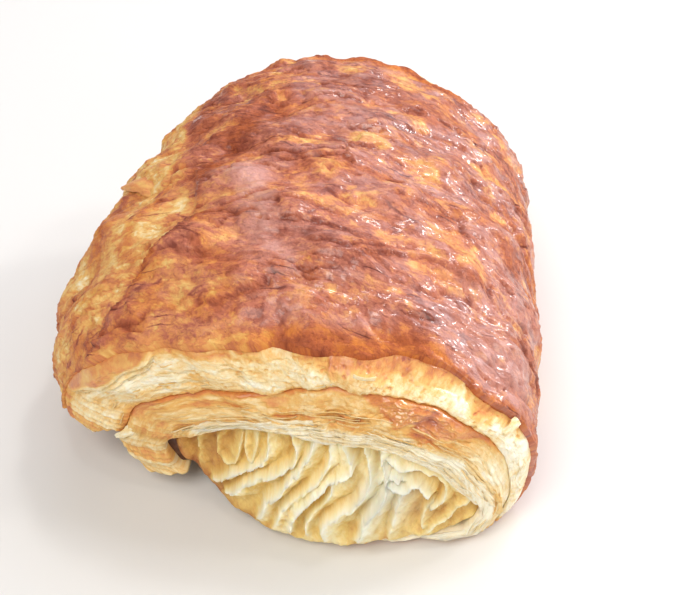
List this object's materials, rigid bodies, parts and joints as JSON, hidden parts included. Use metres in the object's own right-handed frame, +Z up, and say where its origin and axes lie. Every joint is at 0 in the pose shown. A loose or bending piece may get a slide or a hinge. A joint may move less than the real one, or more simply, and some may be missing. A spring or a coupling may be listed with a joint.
{
  "type": "pain au chocolat",
  "caption": "Baked roll of laminated dough with a glossy domed crust, crinkled layers at the open ends and a dark chocolate baton running through it.",
  "frame": {"origin": "on the table, under the middle of the pastry's bounding box", "axes": "+Z up, +Y along the roll from the end that faces the viewer to the far end, +X to the viewer's right"},
  "size_m": [0.0909, 0.1036, 0.0499],
  "materials": {
    "pastry": "egg-washed crust, red-brown and glossy on the dome, pale cream where the layers show",
    "chocolate": "dark, slightly bloomed chocolate"
  },
  "bodies": {
    "root": {"pastry": "pastry", "chocolate_baton": "chocolate"}
  },
  "joints": []
}
